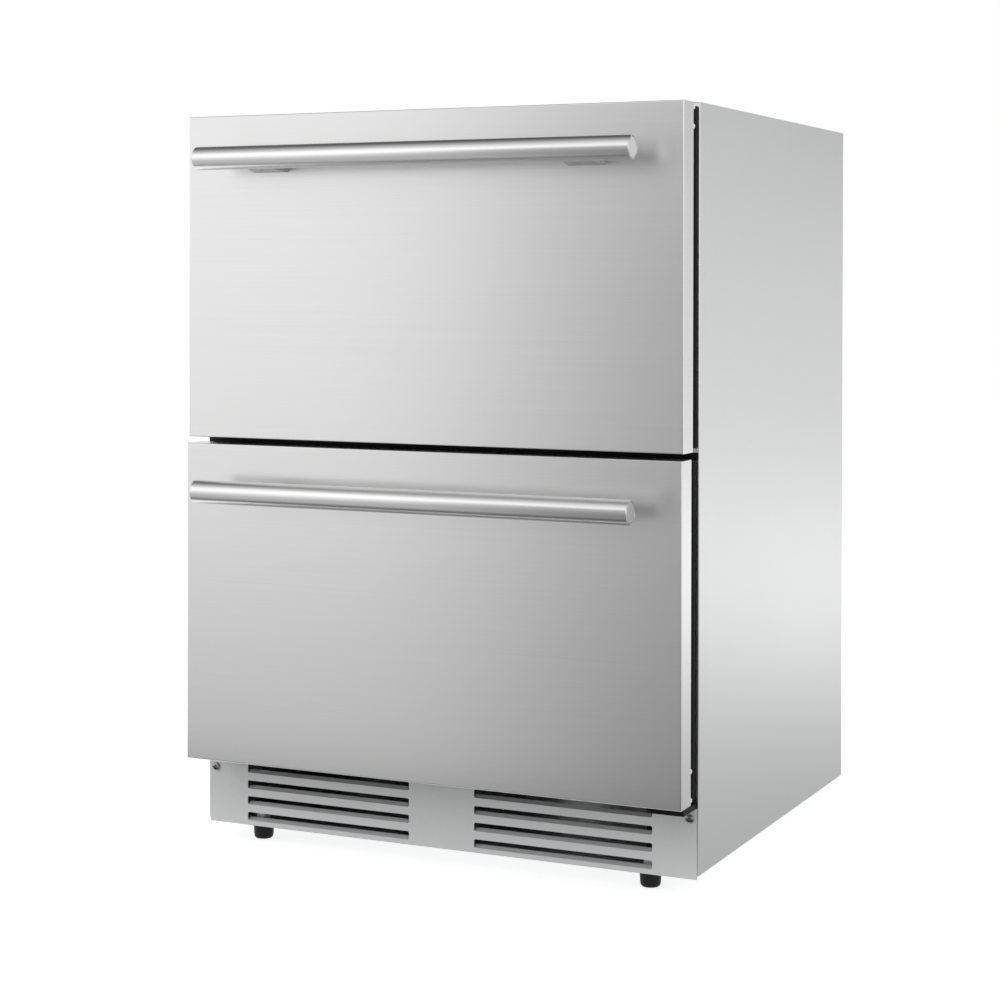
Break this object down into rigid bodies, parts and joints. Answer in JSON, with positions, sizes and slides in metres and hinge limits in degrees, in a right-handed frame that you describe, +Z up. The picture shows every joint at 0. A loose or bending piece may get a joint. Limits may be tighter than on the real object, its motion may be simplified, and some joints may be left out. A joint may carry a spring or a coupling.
{
  "type": "undercounter drawer refrigerator",
  "caption": "Undercounter refrigerator with stacked stainless drawers, round bar handles on tapered posts, a louvred grey base grille and levelling feet.",
  "frame": {"origin": "middle of the footprint, on the floor under the feet", "axes": "+Z up; the drawers open towards -Y; +X to the right when the fronts are faced"},
  "size_m": [0.6, 0.635, 0.83],
  "materials": {
    "side_steel": "satin silver grey",
    "front_steel": "fine horizontal brushing",
    "post_steel": "satin",
    "zinc_steel": "dull zinc coating",
    "slide_steel": "bright zinc coating",
    "screw_steel": "bright",
    "grille_paint": "matte grey with fine speckle",
    "black_paint": "black semi-matte",
    "black_plastic": "black matte",
    "white_plastic": "white satin",
    "seal_rubber": "black soft",
    "foam": "pale rigid foam",
    "copper": "bare copper",
    "coil_aluminium": "bare fins",
    "clear_plastic": "clear"
  },
  "bodies": {
    "cabinet": {"side_panel_left": "side_steel", "side_panel_right": "side_steel", "top_panel": "side_steel", "back_panel": "zinc_steel", "base_pan": "zinc_steel", "step_plate": "zinc_steel", "cabinet_foam": "foam", "cabinet_liner": "white_plastic", "breaker_frame": "black_plastic", "mullion_bar": "black_plastic", "kick_grille": "grille_paint", "panel_screws": "screw_steel", "corner_bracket": "black_paint", "rear_grille": "zinc_steel", "compressor": "black_paint", "compressor_mounts": "seal_rubber", "condenser": "coil_aluminium", "fan_shroud": "black_plastic", "condenser_fan_motor": "zinc_steel", "filter_drier": "copper", "refrigerant_lines": "copper", "drain_pan": "white_plastic", "drain_tube": "black_plastic", "evaporator": "coil_aluminium", "evaporator_cover": "white_plastic", "evaporator_fan_motor": "black_plastic", "control_panel": "black_plastic", "control_box": "white_plastic", "led_lamp": "clear_plastic", "cord_gland": "black_plastic", "upper_outer_slides": "slide_steel", "lower_outer_slides": "slide_steel"},
    "upper_drawer": {"upper_front": "front_steel", "upper_front_foam": "foam", "upper_front_liner": "white_plastic", "upper_seal": "seal_rubber", "upper_seal_screws": "screw_steel", "upper_bar": "front_steel", "upper_bar_posts": "post_steel", "upper_bar_screws": "screw_steel", "upper_tub": "white_plastic", "upper_inner_slides": "slide_steel"},
    "lower_drawer": {"lower_front": "front_steel", "lower_front_foam": "foam", "lower_front_liner": "white_plastic", "lower_seal": "seal_rubber", "lower_seal_screws": "screw_steel", "lower_bar": "front_steel", "lower_bar_posts": "post_steel", "lower_bar_screws": "screw_steel", "lower_tub": "white_plastic", "lower_inner_slides": "slide_steel"},
    "upper_middle": {"upper_middle_slides": "slide_steel"},
    "lower_middle": {"lower_middle_slides": "slide_steel"},
    "condenser_fan_body": {"condenser_fan": "black_plastic"},
    "evaporator_fan_body": {"evaporator_fan": "white_plastic"},
    "front_left_foot_body": {"front_left_foot": "black_plastic"},
    "front_right_foot_body": {"front_right_foot": "black_plastic"},
    "rear_left_foot_body": {"rear_left_foot": "black_plastic"},
    "rear_right_foot_body": {"rear_right_foot": "black_plastic"}
  },
  "joints": [
    {"name": "upper_drawer_slide", "type": "slide", "parent": "cabinet", "child": "upper_drawer", "axis": [0, -1, 0], "range_m": [0, 0.4]},
    {"name": "lower_drawer_slide", "type": "slide", "parent": "cabinet", "child": "lower_drawer", "axis": [0, -1, 0], "range_m": [-0.004, 0.396]},
    {"name": "upper_middle_slide", "type": "slide", "parent": "cabinet", "child": "upper_middle", "axis": [0, -1, 0], "range_m": [0, 0.2]},
    {"name": "lower_middle_slide", "type": "slide", "parent": "cabinet", "child": "lower_middle", "axis": [0, -1, 0], "range_m": [-0.002, 0.198]},
    {"name": "condenser_fan_spin", "type": "hinge", "parent": "cabinet", "child": "condenser_fan_body", "pos_m": [-0.098, 0.22, 0.115], "axis": [1, 0, 0], "continuous": true},
    {"name": "evaporator_fan_spin", "type": "hinge", "parent": "cabinet", "child": "evaporator_fan_body", "pos_m": [0, 0.24, 0.45], "axis": [0, 1, 0], "continuous": true},
    {"name": "front_left_foot_screw", "type": "slide", "parent": "cabinet", "child": "front_left_foot_body", "axis": [0, 0, -1], "range_m": [0, 0.02]},
    {"name": "front_right_foot_screw", "type": "slide", "parent": "cabinet", "child": "front_right_foot_body", "axis": [0, 0, -1], "range_m": [0, 0.02]},
    {"name": "rear_left_foot_screw", "type": "slide", "parent": "cabinet", "child": "rear_left_foot_body", "axis": [0, 0, -1], "range_m": [0, 0.02]},
    {"name": "rear_right_foot_screw", "type": "slide", "parent": "cabinet", "child": "rear_right_foot_body", "axis": [0, 0, -1], "range_m": [0, 0.02]}
  ],
  "couplings": [
    {"joint": "upper_middle_slide", "follows": "upper_drawer_slide", "ratio": 0.5},
    {"joint": "lower_middle_slide", "follows": "lower_drawer_slide", "ratio": 0.5}
  ]
}
